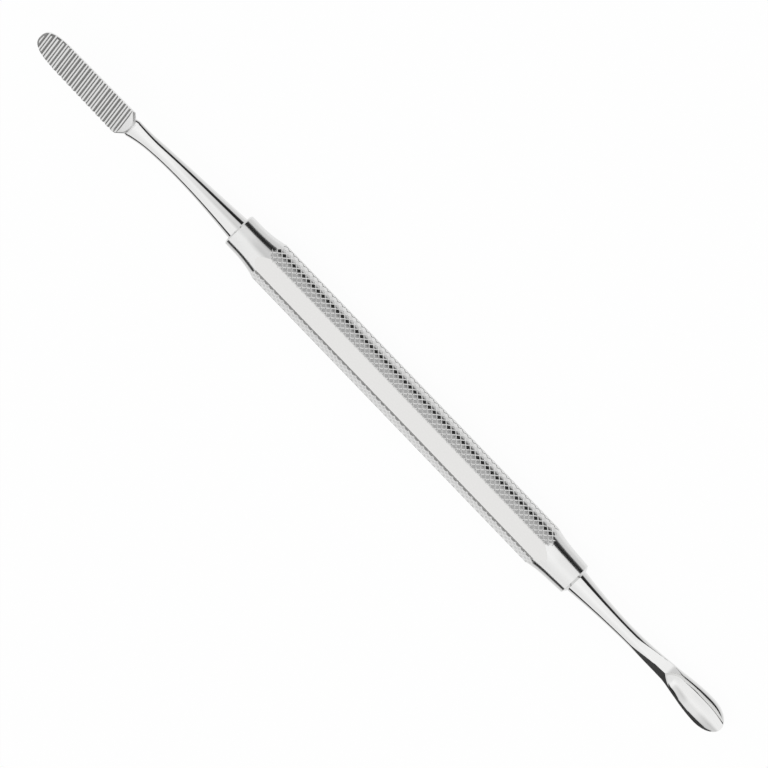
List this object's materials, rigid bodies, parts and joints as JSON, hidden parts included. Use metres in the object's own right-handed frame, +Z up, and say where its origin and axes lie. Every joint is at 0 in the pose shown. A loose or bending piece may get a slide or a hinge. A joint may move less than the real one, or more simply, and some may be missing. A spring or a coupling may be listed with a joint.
{
  "type": "bone file",
  "caption": "Double-ended surgical bone file: a flat cross-toothed file blade and a small hollowed spoon on a knurled handle with rounded sides and two plain flats.",
  "frame": {"origin": "under the middle of the instrument's length, on the plane of the back flat it rests on", "axes": "+X along the instrument from the toothed end to the spoon end, +Z up out of the front flat, Y across"},
  "size_m": [0.178, 0.0088, 0.0089],
  "materials": {
    "handle_steel": "satin polished stainless steel, knurled",
    "file_steel": "polished stainless steel with a ground, toothed face",
    "spoon_steel": "mirror polished stainless steel"
  },
  "bodies": {
    "root": {"handle": "handle_steel", "file_end": "file_steel", "spoon_end": "spoon_steel"}
  },
  "joints": []
}
